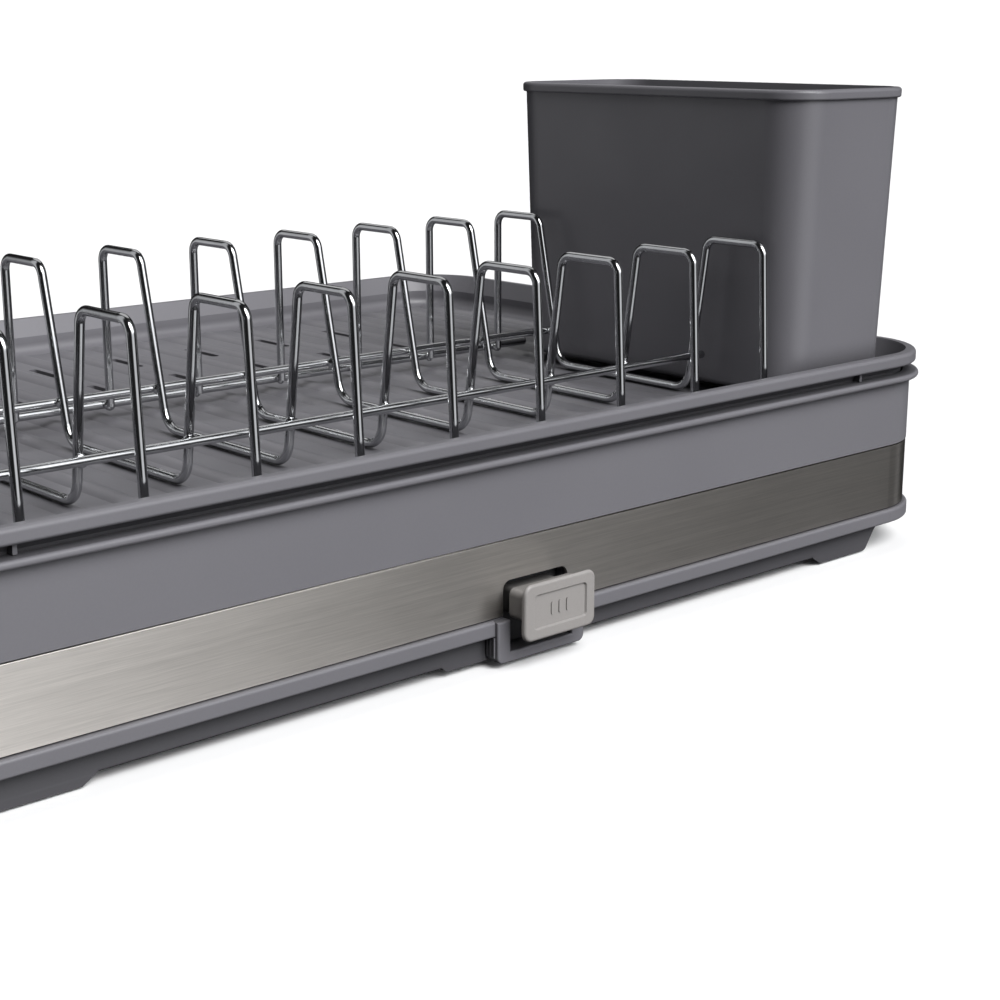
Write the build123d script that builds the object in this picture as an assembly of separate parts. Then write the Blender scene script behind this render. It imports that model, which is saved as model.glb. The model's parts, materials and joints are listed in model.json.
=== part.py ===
"""Dish drying rack: basin with steel band, push drain, drip tray, wire plate rack and cutlery cup.

Millimetres, +Z up. The shapes are drawn about the middle of the basin, with heights measured from the
surface the rack stands on. At the end they move along Y, so that the origin is under the middle of
the whole rack with its drain cap.
+X runs to the cutlery cup's end, -Y is the long front side with the drain.
"""
import os
from math import radians, tan

from build123d import *

# ---- basin (outer tray) ----
HALF_X = 241.5            # outer wall, half length
HALF_Y = 165.0            # outer wall, half depth
CORNER_R = 32.0           # plan radius of the outer wall
BASE_Z = 3.75             # underside of the basin floor
BEAD_Z = (11.8, 17.5)     # bead that carries the steel band
BEAD_OUT = 1.8
LOWER_IN = 3.0            # lower wall stands in by this much
LIP_Z = (71.5, 74.1)      # rolled lip at the top
LIP_OUT = 3.6
WALL = 2.8
FLOOR_TOP = 6.55          # floor inside the basin
SHELF_TOP = 14.6          # higher floor at both ends of the basin
END_LOW = (199.0, 0.9)    # slanted end of the feet and the lower basin: X and Z at its bottom
END_HIGH = (205.1, 9.7)   # and where it sweeps out under the shelf
END_OUT = 214.5           # where the sweep meets the shelf
PAN_HALF = 197.0          # inside of the lower basin, half length
SUMP_X = (-34.0, 26.0)    # lowered floor round the drain
SUMP_DROP = 1.3
SUMP_SLANT = 2.6
SUMP_DEPTH = 46.0         # how far the sump reaches back from the lower wall

# ---- steel band ----
BAND_Z = (17.8, 44.4)
BAND_T = 1.2
RECESS = 1.4              # depth of the seat that the band lies in
RECESS_TOP = 45.0

# ---- feet ----
FOOT_X = (164.4, 169.4)   # inner end of a foot, at its top and bottom
FOOT_Y = (-26.0, -3.0)    # front and back of a foot, measured from the outer wall (negative inwards)
FOOT_BOTTOM = END_LOW[1]
PAD_X = 183.5
PAD_R = 9.0
PAD_T = 2.4

# ---- drain ----
DRAIN_X = 6.9             # middle of the drain
NOTCH_HALF = 15.2         # notch in the band and the wall
NOTCH_TOP = 30.2
NOTCH_R = 3.2
OUTLET_Z = 5.8            # lower edge of the outlet in the wall
SPOUT_HALF = 20.6
SPOUT_Z = (2.0, 17.1)
SPOUT_WALL = 6.0
SPOUT_RAIL = 3.7
SPOUT_FRONT = 3.2         # how far the spout stands out of the wall
SEAT_HALF = 23.0          # flat seat for the seal inside the wall, half width
SEAT_TOP = 36.5
CAP_W, CAP_H, CAP_T = 33.4, 20.3, 1.8
CAP_Z = 21.25             # centre height of the push cap
CAP_FRONT = 12.6          # middle of the cap's face ahead of the wall
JOINT_DEPTH = 2.6         # joint between cap and collar, behind the middle of the cap's face
JOINT_TILT = 10.0         # that joint leans out at its top
COLLAR_W = 29.8
COLLAR_Z = (17.4, 28.2)
COLLAR_BACK = 2.6         # back of the collar ahead of the wall
STEM_W = 22.0
STEM_Z = (17.1, 26.8)
SEAL_T = 2.2
SEAL_FLOOR = 1.4          # floor thickness under the seal
SEAL_Z = (4.2, 32.8)      # covers the outlet all round
GAP = 0.3                 # working clearance between pieces that part

# ---- drip tray (inner tray) ----
TRAY_IN = 3.8             # its outer wall face, in from the basin's outer wall
TRAY_WALL = 2.0
FLARE_Z = 74.9            # above this its wall flares out to the rim
FLARE = 25.0
RIM_Z = (77.7, 82.9)
RIM_OUT = 2.2             # rim stands this far outside the basin's wall
TRAY_FLOOR = (64.3, 66.7)
RIB_PITCH, RIB_W, RIB_H = 20.0, 11.0, 1.6
RIB_LAST = 12             # ribs each side of the middle one
SPACER_T = 1.4
SPACER_X, SPACER_Y = 186.9, 121.0
SLOT_L, SLOT_W = 26.0, 4.0

# ---- wire plate rack ----
PITCH = 40.0
WIRES = 10
FIRST_WIRE = -218.5
WIRE_D = 3.2
REAR_ROD_D = 3.6
FLOOR_Z = TRAY_FLOOR[1] + RIB_H + GAP + WIRE_D / 2
LOOP_Z = 131.7
REAR_LOOP_Z = 132.9
LEG_FOOT_Y, LEG_TOP_Y = -152.2, -149.0        # near leg of the front loop
FAR_TOP_Y, FAR_FOOT_Y = -120.6, -111.8        # far leg of the front loop
REAR_FOOT_Y, REAR_TOP_Y = -36.2, -22.8        # near leg of the rear loop
BACK_Y = 3.8                                  # far leg of the rear loop
TOP_BEND, FOOT_BEND, REAR_BEND = 4.8, 8.0, 9.0
ROD_Z = 84.5
REAR_ROD_Z = 72.4
WELD = 0.3                                    # how deep a rod sinks into a wire at a weld
STUB = 3.4                                    # rod length past the last wire
REAR_STUB = 16.0

# ---- cutlery cup ----
CUP_X = (151.9, 216.9)    # at its foot
CUP_Y = (-155.0, -1.6)
CUP_BASE = 68.6
CUP_FEET = 2.4
CUP_TOP = 190.0
CUP_R = 13.0
CUP_DRAFT = 2.0
CUP_WALL = 2.0
CUP_FLOOR = 2.4
GUIDE_TOP = 146.5
DIVIDER_T = 1.6
DIVIDER_TOP = 172.5


def block(x0, x1, y0, y1, z0, z1):
    """Plain box between two corners."""
    return Pos((x0 + x1) / 2, (y0 + y1) / 2, (z0 + z1) / 2) * Box(x1 - x0, y1 - y0, z1 - z0)


def round_slab(grow, z0, z1, edge=0.0, foot=0.0):
    """Basin outline grown by `grow`, from z0 to z1, with rounded top edge and bottom edge."""
    outline = RectangleRounded(2 * (HALF_X + grow), 2 * (HALF_Y + grow), CORNER_R + grow)
    slab = Pos(0, 0, z0) * extrude(outline, z1 - z0)
    if edge:
        slab = fillet(slab.edges().group_by(Axis.Z)[-1], edge)
    if foot:
        slab = fillet(slab.edges().group_by(Axis.Z)[0], foot)
    return slab


def wall_hole(half, z0, z1, y0, y1, r):
    """Bar along Y with rounded upper corners: the shape of the notch."""
    box = block(DRAIN_X - half, DRAIN_X + half, y0, y1, z0, z1)
    return fillet(box.edges().filter_by(Axis.Y).group_by(Axis.Z)[-1], r)


def end_face(lead, z_low):
    """Front view of a basin end: the given lead-in, the bottom at z_low, the slanted end, the sweep."""
    (x0, z0), (x1, z1) = END_LOW, END_HIGH
    x_low = x0 + (z_low - z0) * (x1 - x0) / (z1 - z0)
    low = [*lead, (x_low, z_low), END_HIGH, (END_OUT, BEAD_Z[0] + 0.1)]
    radii = [1.5] * (len(lead) - 1) + [2.5, 4.0]
    top = BEAD_Z[0] + 1
    close = Polyline(low[-1], (END_OUT, top), (lead[0][0], top), lead[0])
    return make_face(Plane.XZ * (FilletPolyline(*low, radius=radii) + close))


def foot_block(side_x, side_y):
    """A foot with the part of the basin end above it, its inner end slanted."""
    face = end_face([(FOOT_X[0], BASE_Z + 0.25), (FOOT_X[1], FOOT_BOTTOM)], FOOT_BOTTOM)
    y_in, y_out = HALF_Y + FOOT_Y[0], HALF_Y + FOOT_Y[1]
    foot = extrude(face, y_out - y_in)
    foot = Pos(0, -y_out - foot.bounding_box().min.Y, 0) * foot
    if side_x < 0:
        foot = mirror(foot, Plane.YZ)
    if side_y > 0:
        foot = mirror(foot, Plane.XZ)
    return foot


def pad_centre(side_x, side_y):
    return side_x * PAD_X, side_y * (HALF_Y + (FOOT_Y[0] + FOOT_Y[1]) / 2)


def foot_moulding(side_x, side_y):
    """The foot below the basin's floor, with a round recess for its pad."""
    x, y = pad_centre(side_x, side_y)
    reach = END_OUT + 1
    foot = foot_block(side_x, side_y) & block(-reach, reach, -HALF_Y, HALF_Y, 0, BASE_Z)
    return foot - Pos(x, y, PAD_T / 2) * Cylinder(PAD_R, PAD_T)


def foot_pad(side_x, side_y):
    """Rubber disc let into a foot."""
    x, y = pad_centre(side_x, side_y)
    disc = Pos(x, y, PAD_T / 2) * Cylinder(PAD_R, PAD_T)
    return fillet(disc.edges().group_by(Axis.Z)[0], 0.5)


def lower_basin():
    """Deep middle part of the basin, shorter than the top, with swept-out ends."""
    depth = 2 * (HALF_Y - LOWER_IN)
    half = extrude(end_face([(0, BASE_Z)], BASE_Z), depth)
    half = Pos(0, -depth / 2 - half.bounding_box().min.Y, 0) * half
    pan = half + mirror(half, Plane.YZ)
    long_edges = pan.edges().filter_by(Axis.X).group_by(Axis.Z)[0]
    return fillet(long_edges, 1.0)


def sump(grow, z0, z1):
    """Shallow trough in the floor behind the drain, its left end slanted."""
    left, right = SUMP_X[0] - grow, SUMP_X[1] + grow
    outline = Polyline((left, z1), (left + SUMP_SLANT, z0), (right, z0), (right, z1), close=True)
    trough = extrude(make_face(Plane.XZ * outline), SUMP_DEPTH + grow)
    return Pos(0, -(HALF_Y - LOWER_IN) - trough.bounding_box().min.Y, 0) * trough


def drain_block(half, y0, y1, z0, z1):
    """Box centred on the drain."""
    return block(DRAIN_X - half, DRAIN_X + half, y0, y1, z0, z1)


def outer_tray():
    body = lower_basin()
    body += round_slab(0, BEAD_Z[0], LIP_Z[1] - 1)
    body += round_slab(BEAD_OUT, *BEAD_Z, edge=1.2, foot=0.7)
    body += round_slab(LIP_OUT, *LIP_Z, edge=1.3, foot=1.1)
    body += sump(0, BASE_Z - SUMP_DROP, BASE_Z + 1)
    reach = END_OUT + 1
    above = block(-reach, reach, -HALF_Y, HALF_Y, BASE_Z, BEAD_Z[1])
    for side_x in (-1, 1):
        for side_y in (-1, 1):
            body += foot_block(side_x, side_y) & above
    body -= round_slab(-WALL, SHELF_TOP, LIP_Z[1] + 1, foot=3.0)
    inner_y = HALF_Y - LOWER_IN - WALL
    pan = block(-PAN_HALF, PAN_HALF, -inner_y, inner_y, FLOOR_TOP, SHELF_TOP + 1)
    pan = fillet(pan.edges().filter_by(Axis.Z), 12.0)
    body -= fillet(pan.edges().group_by(Axis.Z)[0], 3.0)
    sump_z = BASE_Z - SUMP_DROP
    body -= Pos(0, WALL, 0) * sump(-WALL, sump_z + WALL, FLOOR_TOP + 1)
    wall_y = -HALF_Y + LOWER_IN
    seat_back = wall_y + WALL
    body += drain_block(SEAT_HALF, wall_y, seat_back, BASE_Z, SEAT_TOP)
    body -= drain_block(NOTCH_HALF + 5, seat_back, seat_back + 10.2, sump_z + SEAL_FLOOR, BEAD_Z[1])
    ring = round_slab(1, BEAD_Z[1], RECESS_TOP) - round_slab(-RECESS, BEAD_Z[1] - 1, RECESS_TOP + 1)
    body -= ring
    front = -HALF_Y - 5
    body -= wall_hole(NOTCH_HALF, OUTLET_Z, NOTCH_TOP, front, seat_back + 1, NOTCH_R)
    body -= drain_block(SPOUT_HALF, front, wall_y, 0, SPOUT_Z[1])
    body -= drain_block(SPOUT_HALF, front, -HALF_Y, SPOUT_Z[1] - 1, BEAD_Z[1] + 0.1)
    return body


def steel_band():
    outer = round_slab(-RECESS + BAND_T, *BAND_Z, edge=0.25, foot=0.25)
    band = outer - round_slab(-RECESS, BAND_Z[0] - 1, BAND_Z[1] + 1)
    return band - wall_hole(NOTCH_HALF, 0, NOTCH_TOP, -HALF_Y - 3, -HALF_Y + 3, NOTCH_R)


def drain_spout():
    """U-shaped frame under the drain, with grip ribs on both sides."""
    y0, y1 = -HALF_Y - SPOUT_FRONT, -HALF_Y + LOWER_IN
    body = drain_block(SPOUT_HALF, y0, y1, *SPOUT_Z)
    body = fillet(body.edges().filter_by(Axis.Y).group_by(Axis.Z)[0], 2.6)
    body -= drain_block(SPOUT_HALF - SPOUT_WALL, y0 - 1, y1 + 1, SPOUT_Z[0] + SPOUT_RAIL, SPOUT_Z[1] + 1)
    front = body.faces().sort_by(Axis.Y)[0]
    body = fillet(front.edges(), 0.7)
    for side in (-1, 1):
        for n in range(3):
            x = DRAIN_X + side * SPOUT_HALF
            body += Pos(x, y1 - 1.2 - 1.6 * n, 8.0) * Box(1.2, 0.8, 7.2)
    return body


def cap_place(behind):
    """The middle of the cap's face, moved back."""
    return Pos(DRAIN_X, -HALF_Y - CAP_FRONT + behind, CAP_Z)


def ahead_of_joint(gap):
    """Everything in front of the leaning joint between cap and collar, moved back by a gap."""
    return cap_place(JOINT_DEPTH + gap) * Rot(JOINT_TILT, 0, 0) * block(-30, 30, -30, 0, -30, 30)


def plug_cap():
    """Thin push plate on a wedge: rounded corners, raised border, sunk middle with three raised bars."""
    plate = Pos(0, CAP_T, 0) * extrude(Plane.XZ * RectangleRounded(CAP_W, CAP_H, 3.4), CAP_T)
    plate = fillet(plate.edges().group_by(Axis.Y)[0], 1.1)
    sunk = 0.7
    field = extrude(Plane.XZ * RectangleRounded(CAP_W - 9.4, CAP_H - 8.8, 1.2), 2.0, taper=-35)
    plate -= Pos(0, sunk, 0) * field
    for n in (-1, 0, 1):
        bar = extrude(Plane.XZ * SlotOverall(4.8, 1.4, rotation=90), 0.7, taper=15)
        plate += Pos(3.6 * n, sunk + 0.3, 0) * bar
    y_back = -HALF_Y - CAP_FRONT + CAP_T
    wedge = drain_block(COLLAR_W / 2, y_back - 0.4, y_back + 5, *COLLAR_Z)
    wedge = fillet(wedge.edges().filter_by(Axis.Y), 2.4)
    return cap_place(0) * plate + wedge & ahead_of_joint(0)


def plug_stem():
    """Collar behind the cap and a stem through the wall, with a flange that backs the seal."""
    y_front, y_back = -HALF_Y - CAP_FRONT - 5, -HALF_Y - COLLAR_BACK
    collar = drain_block(COLLAR_W / 2, y_front, y_back, *COLLAR_Z)
    collar = fillet(collar.edges().filter_by(Axis.Y), 2.4)
    collar -= ahead_of_joint(0.4)
    neck = drain_block(COLLAR_W / 2 - 0.8, y_front, y_back, COLLAR_Z[0] + 0.8, COLLAR_Z[1] - 0.8)
    collar += neck - ahead_of_joint(0)
    y_seal = -HALF_Y + LOWER_IN + WALL + GAP
    stem = drain_block(STEM_W / 2, y_back - 1, y_seal + SEAL_T + 1, *STEM_Z)
    stem = fillet(stem.edges().filter_by(Axis.Y), 1.6)
    y_flange = y_seal + SEAL_T
    flange = drain_block(NOTCH_HALF + 3, y_flange, y_flange + 2.0, *SEAL_Z)
    flange = fillet(flange.edges().filter_by(Axis.Y), 2.0)
    return collar + stem + flange


def plug_seal():
    """Rubber frame round the stem, against the inside of the wall."""
    y0 = -HALF_Y + LOWER_IN + WALL + GAP
    ring = drain_block(NOTCH_HALF + 3, y0, y0 + SEAL_T, *SEAL_Z)
    ring = fillet(ring.edges().filter_by(Axis.Y), 2.0)
    bore = drain_block(STEM_W / 2, y0 - 1, y0 + SEAL_T + 1, *STEM_Z)
    return ring - fillet(bore.edges().filter_by(Axis.Y), 1.6)


def floor_rib(x):
    """Low rounded ridge on the drip tray's floor, running front to back."""
    z = TRAY_FLOOR[1] - 0.4
    rise = RIB_H + 0.4
    arc = ThreePointArc((-RIB_W / 2, 0), (0, rise), (RIB_W / 2, 0))
    rib = extrude(make_face(Plane.XZ * (arc + Line((RIB_W / 2, 0), (-RIB_W / 2, 0)))), 300.0)
    box = rib.bounding_box()
    return Pos(x, -150.0 - box.min.Y, z) * rib


def spacers():
    """Small ribs under the rim that keep it off the basin's lip."""
    depth = TRAY_IN + 1.0
    z0, z1 = LIP_Z[1] + GAP, RIM_Z[0] + 0.6
    parts = []
    for side in (-1, 1):
        for x in (-SPACER_X, SPACER_X):
            y0, y1 = sorted((side * (HALF_Y - depth), side * (HALF_Y - 0.4)))
            parts.append(block(x - SPACER_T / 2, x + SPACER_T / 2, y0, y1, z0, z1))
        for y in (-SPACER_Y, SPACER_Y):
            x0, x1 = sorted((side * (HALF_X - depth), side * (HALF_X - 0.4)))
            parts.append(block(x0, x1, y - SPACER_T / 2, y + SPACER_T / 2, z0, z1))
    return parts


def flared_slab(grow, z0, z1):
    """Basin outline grown by `grow` at z0 and flaring out upwards."""
    outline = RectangleRounded(2 * (HALF_X + grow), 2 * (HALF_Y + grow), CORNER_R + grow)
    return Pos(0, 0, z0) * extrude(outline, z1 - z0, taper=-FLARE)


def inner_tray():
    body = round_slab(-TRAY_IN, TRAY_FLOOR[0], FLARE_Z, foot=6.0)
    body += round_slab(RIM_OUT, *RIM_Z, edge=1.6, foot=1.2)
    flare = flared_slab(-TRAY_IN, FLARE_Z, RIM_Z[1] - 2.0)
    body -= round_slab(RIM_OUT - 1.8, RIM_Z[0] - 1, RIM_Z[1] - 2.0) - flare
    body += flare
    for part in spacers():
        body += part
    inner_face = TRAY_IN + TRAY_WALL
    body -= round_slab(-inner_face, TRAY_FLOOR[1], FLARE_Z, foot=5.0)
    body -= flared_slab(-inner_face, FLARE_Z, RIM_Z[1] + 1)
    first = FIRST_WIRE % RIB_PITCH
    for n in range(-RIB_LAST, RIB_LAST + 1):
        x = first - RIB_PITCH + n * RIB_PITCH
        if abs(x) < HALF_X - inner_face - 8:
            body += floor_rib(x)
    for n in range(-5, 5):
        for y in (60.0, 110.0):
            x = first - 1.5 * RIB_PITCH + 2 * n * RIB_PITCH
            slot = extrude(Plane.XY * SlotOverall(SLOT_L, SLOT_W, rotation=90), 10)
            body -= Pos(x, y, TRAY_FLOOR[0] - 4) * slot
    return body


def bent_wire(points, radii, diameter):
    """Round wire along a polyline in the YZ plane with a bend at each inner corner."""
    corners = [Vector(0, y, z) for y, z in points]
    path = FilletPolyline(*corners, radius=radii)
    start = Plane(origin=path @ 0, z_dir=path % 0)
    return sweep(start * Circle(diameter / 2), path)


def prong_wire(x):
    """One bent wire: front loop, floor run, rear loop."""
    points = [
        (LEG_FOOT_Y, FLOOR_Z),
        (LEG_TOP_Y, LOOP_Z),
        (FAR_TOP_Y, LOOP_Z),
        (FAR_FOOT_Y, FLOOR_Z),
        (REAR_FOOT_Y, FLOOR_Z),
        (REAR_TOP_Y, REAR_LOOP_Z),
        (BACK_Y, REAR_LOOP_Z),
        (BACK_Y, REAR_ROD_Z),
    ]
    radii = [TOP_BEND, TOP_BEND, FOOT_BEND, REAR_BEND, TOP_BEND, TOP_BEND]
    return Pos(x, 0, 0) * bent_wire(points, radii, WIRE_D)


def rod(y, z, diameter, x0, x1):
    """Straight rod along X with rounded ends."""
    bar = Pos((x0 + x1) / 2, y, z) * Rot(0, 90, 0) * Cylinder(diameter / 2, x1 - x0)
    return fillet(bar.edges(), diameter * 0.3)


def leg_y(z):
    """Where the far leg of the front loop stands at height z."""
    return FAR_TOP_Y + (FAR_FOOT_Y - FAR_TOP_Y) * (LOOP_Z - z) / (LOOP_Z - FLOOR_Z)


def rear_leg_y(z):
    """Where the near leg of the rear loop stands at height z."""
    return REAR_FOOT_Y + (REAR_TOP_Y - REAR_FOOT_Y) * (z - FLOOR_Z) / (REAR_LOOP_Z - FLOOR_Z)


def rods():
    x0 = FIRST_WIRE - STUB
    x1 = FIRST_WIRE + (WIRES - 1) * PITCH + STUB
    touch = WIRE_D - WELD
    rear_touch = (WIRE_D + REAR_ROD_D) / 2 - WELD
    return {
        "front_rod": rod(leg_y(ROD_Z) - touch, ROD_Z, WIRE_D, x0, x1),
        "middle_rod": rod(rear_leg_y(ROD_Z) + touch, ROD_Z, WIRE_D, x0, x1),
        "rear_rod": rod(BACK_Y + rear_touch, REAR_ROD_Z + 0.6, REAR_ROD_D, x0, x1 + REAR_STUB),
        "front_base_rod": rod(LEG_FOOT_Y + touch, FLOOR_Z + 0.8, WIRE_D, x0, x1),
    }


def cup_solid(inset, z0, z1):
    """Tapered cup shape, drawn in by `inset`, between two heights."""
    width = CUP_X[1] - CUP_X[0]
    depth = CUP_Y[1] - CUP_Y[0]
    grow = (z0 - CUP_BASE) * tan(radians(CUP_DRAFT)) - inset
    outline = RectangleRounded(width + 2 * grow, depth + 2 * grow, CUP_R + grow)
    cx, cy = sum(CUP_X) / 2, sum(CUP_Y) / 2
    return Pos(cx, cy, z0) * extrude(outline, z1 - z0, taper=-CUP_DRAFT)


def holder_cup():
    z0 = CUP_BASE + CUP_FEET
    body = cup_solid(0, z0, CUP_TOP)
    body = fillet(body.edges().group_by(Axis.Z)[0], 2.5)
    rim = cup_solid(-1.4, CUP_TOP - 4.0, CUP_TOP)
    rim = fillet(rim.edges().group_by(Axis.Z)[-1], 1.4)
    body += fillet(rim.edges().group_by(Axis.Z)[0], 0.8)
    body -= cup_solid(CUP_WALL, z0 + CUP_FLOOR, CUP_TOP + 1)
    cx, cy = sum(CUP_X) / 2, sum(CUP_Y) / 2
    for sx in (-1, 1):
        for sy in (-1, 1):
            x = cx + sx * (CUP_X[1] - CUP_X[0] - 22) / 2
            y = cy + sy * (CUP_Y[1] - CUP_Y[0] - 22) / 2
            body += Pos(x, y, CUP_BASE + (CUP_FEET + 1) / 2) * Cylinder(5.0, CUP_FEET + 1)
    for n in range(-4, 5):
        for side in (-1, 1):
            slot = extrude(Plane.XY * SlotOverall(20.0, 4.0), 12)
            body -= Pos(cx + side * 13.0, cy + n * 14.0, z0 - 4) * slot
    for y in divider_places():
        for side in (-1, 1):
            for off in (-1, 1):
                x = cx + side * ((CUP_X[1] - CUP_X[0]) / 2 - CUP_WALL - 0.2)
                guide_y = y + off * (DIVIDER_T / 2 + GAP + 0.6)
                guide = block(x - 1.6, x + 1.6, guide_y - 0.6, guide_y + 0.6, z0 + CUP_FLOOR - 1, GUIDE_TOP)
                body += guide
    return body


def divider_places():
    third = (CUP_Y[1] - CUP_Y[0]) / 3
    return CUP_Y[0] + third, CUP_Y[1] - third


def holder_divider(y):
    """Flat drop-in wall across the cup, with a finger notch at the top."""
    z0 = CUP_BASE + CUP_FEET + CUP_FLOOR
    cx = sum(CUP_X) / 2
    low = (CUP_X[1] - CUP_X[0]) / 2 - CUP_WALL - 0.1
    lean = tan(radians(CUP_DRAFT))
    high = low + (DIVIDER_TOP - z0) * lean - 0.2
    outline = Polyline((-low, z0), (-high, DIVIDER_TOP), (high, DIVIDER_TOP), (low, z0), close=True)
    sheet = extrude(make_face(Plane.XZ * outline), DIVIDER_T)
    box = sheet.bounding_box()
    sheet = Pos(cx, y - DIVIDER_T / 2 - box.min.Y, 0) * sheet
    return sheet - Pos(cx, y, DIVIDER_TOP + 4) * Rot(90, 0, 0) * Cylinder(14.0, 6.0)


def pieces():
    yield "outer_tray", outer_tray()
    yield "steel_band", steel_band()
    yield "drain_spout", drain_spout()
    for end, sy in (("front", -1), ("back", 1)):
        for side, sx in (("left", -1), ("right", 1)):
            yield f"foot_{end}_{side}", foot_moulding(sx, sy)
            yield f"foot_pad_{end}_{side}", foot_pad(sx, sy)
    yield "plug_cap", plug_cap()
    yield "plug_stem", plug_stem()
    yield "plug_seal", plug_seal()
    yield "inner_tray", inner_tray()
    for n in range(WIRES):
        yield f"prong_wire_{n + 1}", prong_wire(FIRST_WIRE + n * PITCH)
    yield from rods().items()
    yield "holder_cup", holder_cup()
    for n, y in enumerate(divider_places()):
        yield f"holder_divider_{n + 1}", holder_divider(y)


# The origin is under the middle of the whole rack: the drain cap in front, the lip at the back.
shapes = dict(pieces())
front_y = shapes["plug_cap"].bounding_box().min.Y
frame_y = -(front_y + HALF_Y + LIP_OUT) / 2

os.makedirs("parts", exist_ok=True)
for node, shape in shapes.items():
    export_step(Pos(0, frame_y, 0) * shape, f"parts/{node}.step")
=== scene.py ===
"""Looks of the dish drying rack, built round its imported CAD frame. Metres, in the frame of the CAD."""
import json
import math
import random

import bmesh
import bpy
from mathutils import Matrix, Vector


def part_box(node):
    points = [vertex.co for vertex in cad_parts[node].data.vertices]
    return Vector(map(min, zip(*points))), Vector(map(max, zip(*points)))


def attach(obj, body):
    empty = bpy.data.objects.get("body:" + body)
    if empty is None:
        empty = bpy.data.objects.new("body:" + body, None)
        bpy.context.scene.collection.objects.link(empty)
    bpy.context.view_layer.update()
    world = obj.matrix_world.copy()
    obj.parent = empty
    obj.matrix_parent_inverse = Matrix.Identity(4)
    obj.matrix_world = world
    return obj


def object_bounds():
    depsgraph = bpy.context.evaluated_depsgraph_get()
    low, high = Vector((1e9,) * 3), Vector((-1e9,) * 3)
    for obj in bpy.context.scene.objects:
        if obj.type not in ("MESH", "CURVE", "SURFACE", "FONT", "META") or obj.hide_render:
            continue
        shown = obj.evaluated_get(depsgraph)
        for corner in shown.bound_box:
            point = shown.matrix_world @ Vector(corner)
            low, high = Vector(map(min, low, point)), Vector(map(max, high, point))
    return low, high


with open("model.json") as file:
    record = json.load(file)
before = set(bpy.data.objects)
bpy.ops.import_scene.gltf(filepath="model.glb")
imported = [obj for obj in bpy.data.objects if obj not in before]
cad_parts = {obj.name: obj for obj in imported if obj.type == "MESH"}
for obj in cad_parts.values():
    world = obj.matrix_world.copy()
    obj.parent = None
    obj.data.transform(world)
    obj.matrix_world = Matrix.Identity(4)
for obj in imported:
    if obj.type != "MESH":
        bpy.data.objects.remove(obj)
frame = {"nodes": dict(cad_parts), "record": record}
cad_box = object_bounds()
nodes = frame["nodes"]

# ---- camera ----
CAMERA_AT = (-0.4089, -0.6016, 0.2127)
CAMERA_YAW = 42.13        # degrees from +Y towards +X
CAMERA_DOWN = 14.47
LENS = 65.8               # mm, on a 36 mm sensor

# ---- finishes, linear colours ----
TRAY_GREY = (0.143, 0.140, 0.153)
CUP_GREY = (0.140, 0.137, 0.150)
DIVIDER_GREY = (0.20, 0.20, 0.21)
LIGHT_GREY = (0.275, 0.261, 0.252)
STEM_GREY = (0.20, 0.192, 0.185)
STEEL_GREY = (0.60, 0.57, 0.535)
CHROME = (0.50, 0.505, 0.515)
RUBBER = (0.028, 0.028, 0.030)
# painted shade in narrow gaps and inside corners of the plastic
GAP_SHADE_REACH = 0.012     # how near another face has to be for the painted gap shade
GAP_SHADE_DARK = 0.35
GAP_SHADE_OPEN = (0.25, 0.85)         # open share of the view from a point, from darkest painted shade to none
GROUND_SHADE = (0.0112, 0.0128)     # heights between which the shade near the ground ends
GROUND_DARK = 0.46
SPOUT_EDGE = 0.0004       # how softly that shade stops beside the spout
SPOUT_BACK = 0.002        # and behind it
FLOOR_PALE = (0.90, 0.90, 0.90)

# ---- studio, in degrees: azimuth from -Y towards +X, elevation from the horizon ----
# soft panels: azimuth, inner and outer half width, lowest and highest elevation, brightness
PANELS = (
    (5.0, 12.0, 34.0, -24.0, 50.0, 1.05),
    (16.0, 0.5, 46.0, 20.0, 52.0, 3.0),
    (78.0, 1.5, 4.0, -35.0, 60.0, 0.6),
    (-137.0, 8.0, 25.0, -35.0, 60.0, 0.7),
)
PANEL_SOFT = 14.0         # fade at the top and bottom of a panel
STUDIO_DIM = 0.02
# lamps: azimuth, elevation, power, angular size
KEY = (-5.0, 48.0, 3.0, 42.0)
BACK = (147.5, 49.4, 0.45, 50.0)

# ---- plate rack welds: rod, and the side on which the wires touch it ----
WELDED = (("front_rod", 1), ("middle_rod", -1), ("rear_rod", -1), ("front_base_rod", -1))
WELD_SIZE = (0.0023, 0.0017, 0.0023)

# ---- floor: flat radius, how far the far part reaches and rises ----
FLOOR_FLAT = 12.0
FLOOR_REACH = 60.0
FLOOR_RISE = 30.0
FLOOR_STEPS = 10


class Graph:
    """A node tree, with short calls to add, join and calculate."""

    def __init__(self, tree):
        self.tree = tree

    def add(self, kind, **settings):
        node = self.tree.nodes.new(kind)
        for key, value in settings.items():
            setattr(node, key, value)
        return node

    def join(self, output, socket):
        self.tree.links.new(output, socket)

    def maths(self, operation, *values):
        node = self.add("ShaderNodeMath", operation=operation)
        for socket, value in zip(node.inputs, values):
            if isinstance(value, (int, float)):
                socket.default_value = value
            else:
                self.join(value, socket)
        return node.outputs["Value"]


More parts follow.
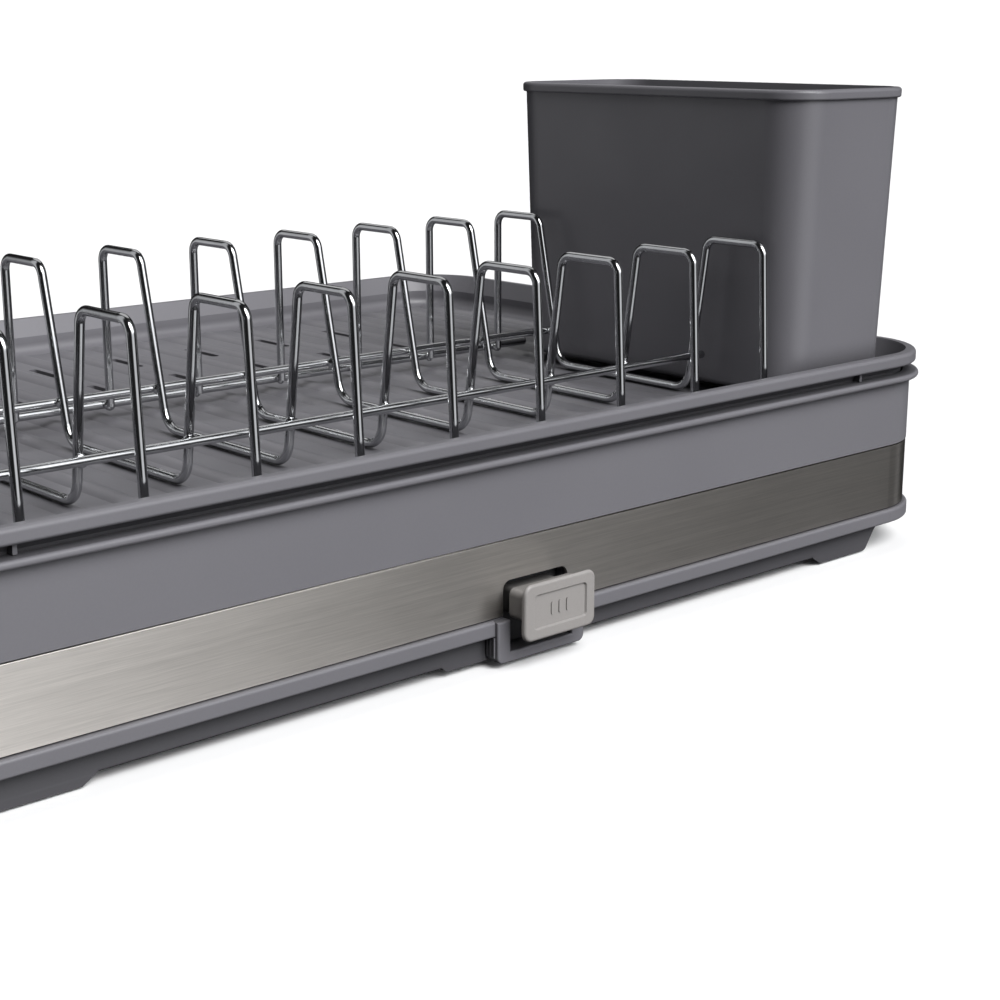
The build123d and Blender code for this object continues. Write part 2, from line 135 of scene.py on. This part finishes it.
class Nodes(Graph):
    """A material's node tree: patterns in the object's own coordinates."""

    def __init__(self, name):
        self.material = bpy.data.materials.new(name)
        self.material.use_nodes = True
        super().__init__(self.material.node_tree)
        self.shader = self.tree.nodes["Principled BSDF"]
        self.place = self.add("ShaderNodeTexCoord").outputs["Object"]

    def stretched(self, scale):
        """The object's own coordinates, scaled by a different amount along each axis."""
        mapping = self.add("ShaderNodeMapping")
        mapping.inputs["Scale"].default_value = scale
        self.join(self.place, mapping.inputs["Vector"])
        return mapping.outputs["Vector"]

    def noise(self, scale, detail=2.0, roughness=0.5, stretch=(1.0, 1.0, 1.0)):
        node = self.add("ShaderNodeTexNoise")
        node.inputs["Scale"].default_value = scale
        node.inputs["Detail"].default_value = detail
        node.inputs["Roughness"].default_value = roughness
        self.join(self.stretched(stretch), node.inputs["Vector"])
        return node.outputs["Fac"]

    def spread(self, value, low, high, source=(0.3, 0.7)):
        """A value from `source` mapped onto low..high."""
        node = self.add("ShaderNodeMapRange")
        node.inputs["From Min"].default_value = source[0]
        node.inputs["From Max"].default_value = source[1]
        node.inputs["To Min"].default_value = low
        node.inputs["To Max"].default_value = high
        self.join(value, node.inputs["Value"])
        return node.outputs["Result"]

    def shade(self, colour, factor):
        """One colour made lighter and darker by a factor that varies over the surface."""
        node = self.add("ShaderNodeVectorMath", operation="SCALE")
        node.inputs[0].default_value = colour
        self.join(factor, node.inputs["Scale"])
        return node.outputs["Vector"]

    def edges(self, radius):
        """1 on the sharp convex and concave edges, 0 on the faces."""
        bevel = self.add("ShaderNodeBevel", samples=4)
        bevel.inputs["Radius"].default_value = radius
        geometry = self.add("ShaderNodeNewGeometry")
        dot = self.add("ShaderNodeVectorMath", operation="DOT_PRODUCT")
        self.join(bevel.outputs["Normal"], dot.inputs[0])
        self.join(geometry.outputs["Normal"], dot.inputs[1])
        return self.spread(dot.outputs["Value"], 1.0, 0.0, (0.86, 0.995))

    def painted_gap_shade(self):
        """Painted shade: 1 on open faces, falling in narrow gaps and inside corners."""
        near = self.add("ShaderNodeAmbientOcclusion", samples=8)
        near.inputs["Distance"].default_value = GAP_SHADE_REACH
        return self.spread(near.outputs["AO"], GAP_SHADE_DARK, 1.0, GAP_SHADE_OPEN)

    def ground_shade(self):
        """Darker close to the ground, under the bead; 1 above it and on the spout."""
        split = self.add("ShaderNodeSeparateXYZ")
        self.join(self.place, split.inputs["Vector"])
        near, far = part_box("drain_spout")
        half = (far[0] - near[0]) / 2
        from_middle = self.maths("SUBTRACT", split.outputs["X"], (near[0] + far[0]) / 2)
        aside = self.maths("ABSOLUTE", from_middle)
        beside = self.spread(aside, 0.0, 1.0, (half, half + SPOUT_EDGE))
        behind = self.spread(split.outputs["Y"], 0.0, 1.0, (far[1] - SPOUT_BACK, far[1] + SPOUT_BACK))
        low = self.spread(split.outputs["Z"], 1.0 - GROUND_DARK, 0.0, GROUND_SHADE)
        away = self.maths("MAXIMUM", beside, behind)
        return self.maths("SUBTRACT", 1.0, self.maths("MULTIPLY", low, away))

    def bump(self, height, depth, strength, after=None):
        node = self.add("ShaderNodeBump")
        node.inputs["Strength"].default_value = strength
        node.inputs["Distance"].default_value = depth
        self.join(height, node.inputs["Height"])
        if after:
            self.join(after, node.inputs["Normal"])
        return node.outputs["Normal"]


def moulded_plastic(name, colour, roughness=0.40, wear=0.18):
    """Satin injection-moulded plastic: faint cloudiness, fine grain, rubbed edges, painted shade in gaps
    and near the ground.
    """
    m = Nodes(name)
    cloud = m.spread(m.noise(9.0, detail=3.0), 0.965, 1.035)
    speck = m.spread(m.noise(1400.0, detail=1.0), 0.985, 1.015)
    rubbed = m.maths("MULTIPLY", m.edges(0.0009), m.spread(m.noise(60.0, detail=3.0), 0.2, 1.0))
    lift = m.maths("MULTIPLY_ADD", rubbed, wear, 1.0)
    # painted shade: darker in narrow gaps, inside corners and near the ground under the bead
    shade = m.maths("MULTIPLY", m.painted_gap_shade(), m.ground_shade())
    tone = m.maths("MULTIPLY", m.maths("MULTIPLY", cloud, speck), m.maths("MULTIPLY", lift, shade))
    m.join(m.shade(colour, tone), m.shader.inputs["Base Color"])
    rough = m.spread(m.noise(26.0, detail=4.0), roughness - 0.05, roughness + 0.06)
    m.join(m.maths("SUBTRACT", rough, m.maths("MULTIPLY", rubbed, 0.08)), m.shader.inputs["Roughness"])
    grain = m.bump(m.noise(2600.0, detail=2.0), 0.00004, 0.35)
    m.join(m.bump(m.noise(14.0, detail=2.0), 0.0008, 0.05, grain), m.shader.inputs["Normal"])
    m.shader.inputs["IOR"].default_value = 1.47
    return m.material


def brushed_steel(name):
    """Stainless steel brushed along the band, with fine level lines and a few longer scratches."""
    m = Nodes(name)
    fine = m.noise(1.0, detail=3.0, roughness=0.65, stretch=(60.0, 60.0, 5200.0))
    broad = m.noise(1.0, detail=2.0, stretch=(5.0, 5.0, 900.0))
    smear = m.noise(7.0, detail=3.0)
    lines = m.maths("MULTIPLY", m.spread(fine, 0.90, 1.10), m.spread(broad, 0.95, 1.05))
    tone = m.maths("MULTIPLY", lines, m.spread(smear, 0.97, 1.03))
    m.join(m.shade(STEEL_GREY, tone), m.shader.inputs["Base Color"])
    rough = m.maths("ADD", m.spread(fine, 0.41, 0.49), m.spread(smear, -0.02, 0.03))
    m.join(rough, m.shader.inputs["Roughness"])
    m.join(m.bump(fine, 0.00002, 0.5), m.shader.inputs["Normal"])
    tangent = m.add("ShaderNodeTangent", direction_type="RADIAL", axis="Z")
    m.join(tangent.outputs["Tangent"], m.shader.inputs["Tangent"])
    m.shader.inputs["Metallic"].default_value = 1.0
    m.shader.inputs["Anisotropic"].default_value = 0.9
    m.shader.inputs["Anisotropic Rotation"].default_value = 0.25
    return m.material


def chrome_plate(name):
    """Bright chrome on drawn wire: slight ripple, a few duller patches and water marks."""
    m = Nodes(name)
    patch = m.noise(55.0, detail=4.0, roughness=0.6)
    m.join(m.shade(CHROME, m.spread(patch, 0.90, 1.02)), m.shader.inputs["Base Color"])
    m.join(m.spread(patch, 0.16, 0.07), m.shader.inputs["Roughness"])
    m.join(m.bump(m.noise(420.0, detail=2.0), 0.00003, 0.25), m.shader.inputs["Normal"])
    m.shader.inputs["Metallic"].default_value = 1.0
    return m.material


def soft_rubber(name):
    m = Nodes(name)
    m.join(m.shade(RUBBER, m.spread(m.noise(40.0, detail=4.0), 0.8, 1.25)), m.shader.inputs["Base Color"])
    m.join(m.spread(m.noise(300.0), 0.62, 0.8), m.shader.inputs["Roughness"])
    m.join(m.bump(m.noise(1500.0, detail=3.0), 0.00008, 0.4), m.shader.inputs["Normal"])
    return m.material


def paper_floor(name):
    m = Nodes(name)
    m.join(m.shade(FLOOR_PALE, m.spread(m.noise(2.0), 0.995, 1.005)), m.shader.inputs["Base Color"])
    m.shader.inputs["Roughness"].default_value = 0.85
    m.shader.inputs["Specular IOR Level"].default_value = 0.2
    return m.material


def finish_nodes():
    """Gives every CAD node its own finish by the record's material slot."""
    looks = {
        "tray_plastic": moulded_plastic("tray_plastic", TRAY_GREY),
        "cup_plastic": moulded_plastic("cup_plastic", CUP_GREY, 0.36),
        "divider_plastic": moulded_plastic("divider_plastic", DIVIDER_GREY, 0.42),
        "light_plastic": moulded_plastic("light_plastic", LIGHT_GREY, 0.42, 0.10),
        "stem_plastic": moulded_plastic("stem_plastic", STEM_GREY, 0.42, 0.10),
        "steel": brushed_steel("steel"),
        "chrome_wire": chrome_plate("chrome_wire"),
        "rubber": soft_rubber("rubber"),
    }
    for part in frame["record"]["subparts"]:
        mesh = nodes[part["node"]].data
        mesh.materials.clear()
        mesh.materials.append(looks[part["material_slot"]])
    return looks


def add_welds(finish):
    """Small uneven swellings where the rods are welded to the wires."""
    chance = random.Random(11)
    shape = bmesh.new()
    wires = sorted(name for name in nodes if name.startswith("prong_wire_"))
    for rod, side in WELDED:
        low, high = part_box(rod)
        radius = (high[1] - low[1]) / 2
        y = (low[1] + high[1]) / 2 + side * radius
        z = (low[2] + high[2]) / 2
        for wire in wires:
            left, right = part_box(wire)
            x = (left[0] + right[0]) / 2
            made = bmesh.ops.create_icosphere(shape, subdivisions=3, radius=1.0)["verts"]
            lean = [chance.uniform(-0.16, 0.16) for _ in range(3)]
            for vert in made:
                swell = 1.0 + sum(k * math.sin(3.1 * c) for k, c in zip(lean, vert.co))
                spot = [c * size * swell for c, size in zip(vert.co, WELD_SIZE)]
                vert.co = (x + spot[0], y + spot[1], z + spot[2])
    for face in shape.faces:
        face.smooth = True
    mesh = bpy.data.meshes.new("rack_welds")
    shape.to_mesh(mesh)
    shape.free()
    mesh.materials.append(finish)
    welds = bpy.data.objects.new("rack_welds", mesh)
    bpy.context.scene.collection.objects.link(welds)
    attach(welds, "plate_rack")


def add_floor():
    """Flat pale floor that rises far away, so that no horizon shows."""
    shape = bmesh.new()
    bmesh.ops.create_circle(shape, cap_ends=True, segments=96, radius=FLOOR_FLAT)
    rim = [e for e in shape.edges if e.is_boundary]
    for step in range(1, FLOOR_STEPS + 1):
        grown = bmesh.ops.extrude_edge_only(shape, edges=rim)["geom"]
        rim = [g for g in grown if isinstance(g, bmesh.types.BMEdge) and g.is_boundary]
        share = step / FLOOR_STEPS
        radius = FLOOR_FLAT + share * FLOOR_REACH
        for vert in {v for e in rim for v in e.verts}:
            flat = vert.co.xy.normalized() * radius
            vert.co = (flat.x, flat.y, FLOOR_RISE * share ** 2)
    for face in shape.faces:
        face.smooth = True
    mesh = bpy.data.meshes.new("floor")
    bmesh.ops.recalc_face_normals(shape, faces=shape.faces)
    shape.to_mesh(mesh)
    shape.free()
    floor = bpy.data.objects.new("floor", mesh)
    floor.location.z = cad_box[0].z
    bpy.context.scene.collection.objects.link(floor)
    mesh.materials.append(paper_floor("floor"))
    floor.visible_glossy = False
    floor.visible_diffuse = False
    floor.visible_shadow = False


def aim(azimuth, elevation):
    """Direction from the rack towards a place in the studio."""
    a, e = math.radians(azimuth), math.radians(elevation)
    return Vector((math.sin(a) * math.cos(e), -math.cos(a) * math.cos(e), math.sin(e)))


def sun(name, azimuth, elevation, power, spread):
    """Even light from one direction, soft by its angular size in degrees."""
    data = bpy.data.lights.new(name, "SUN")
    data.energy = power
    data.angle = math.radians(spread)
    lamp = bpy.data.objects.new(name, data)
    lamp.rotation_euler = aim(azimuth, elevation).to_track_quat("Z", "Y").to_euler()
    bpy.context.scene.collection.objects.link(lamp)


class Studio(Graph):
    """The world's node tree: a dim room with soft panels set by azimuth and elevation."""

    def __init__(self, name):
        self.world = bpy.data.worlds.new(name)
        self.world.use_nodes = True
        super().__init__(self.world.node_tree)
        split = self.add("ShaderNodeSeparateXYZ")
        self.join(self.add("ShaderNodeTexCoord").outputs["Generated"], split.inputs["Vector"])
        front = self.maths("MULTIPLY", split.outputs["Y"], -1.0)
        self.azimuth = self.maths("ARCTAN2", split.outputs["X"], front)
        self.elevation = self.maths("ARCSINE", split.outputs["Z"])

    def fade(self, value, nothing, full):
        """0 at `nothing` and 1 at `full`, both in degrees, smooth in between."""
        node = self.add("ShaderNodeMapRange", interpolation_type="SMOOTHSTEP")
        node.inputs["From Min"].default_value = math.radians(nothing)
        node.inputs["From Max"].default_value = math.radians(full)
        self.join(value, node.inputs["Value"])
        return node.outputs["Result"]

    def panel(self, azimuth, inner, outer, low, high, strength):
        turned = self.maths("SUBTRACT", self.azimuth, math.radians(azimuth))
        off = self.maths("ABSOLUTE", self.maths("WRAP", turned, math.pi, -math.pi))
        across = self.fade(off, outer, inner)
        above = self.fade(self.elevation, low - PANEL_SOFT, low)
        below = self.fade(self.elevation, high + PANEL_SOFT, high)
        level = self.maths("MULTIPLY", above, below)
        return self.maths("MULTIPLY", self.maths("MULTIPLY", across, strength), level)


def add_lights():
    sun("key", *KEY)
    sun("back", *BACK)


def add_world():
    studio = Studio("studio")
    total = STUDIO_DIM
    for panel in PANELS:
        total = studio.maths("ADD", studio.panel(*panel), total)
    background = studio.tree.nodes["Background"]
    background.inputs["Color"].default_value = (0.97, 0.98, 1.0, 1.0)
    studio.join(total, background.inputs["Strength"])
    bpy.context.scene.world = studio.world


def add_camera():
    data = bpy.data.cameras.new("camera")
    data.lens = LENS
    data.sensor_width = 36.0
    data.clip_start = 0.01
    data.clip_end = 100.0
    camera = bpy.data.objects.new("camera", data)
    camera.location = CAMERA_AT
    camera.rotation_euler = (math.radians(90 - CAMERA_DOWN), 0.0, -math.radians(CAMERA_YAW))
    bpy.context.scene.collection.objects.link(camera)
    bpy.context.scene.camera = camera


looks = finish_nodes()
add_welds(looks["chrome_wire"])
add_floor()
add_lights()
add_world()
add_camera()
bpy.context.scene.view_settings.view_transform = "Standard"
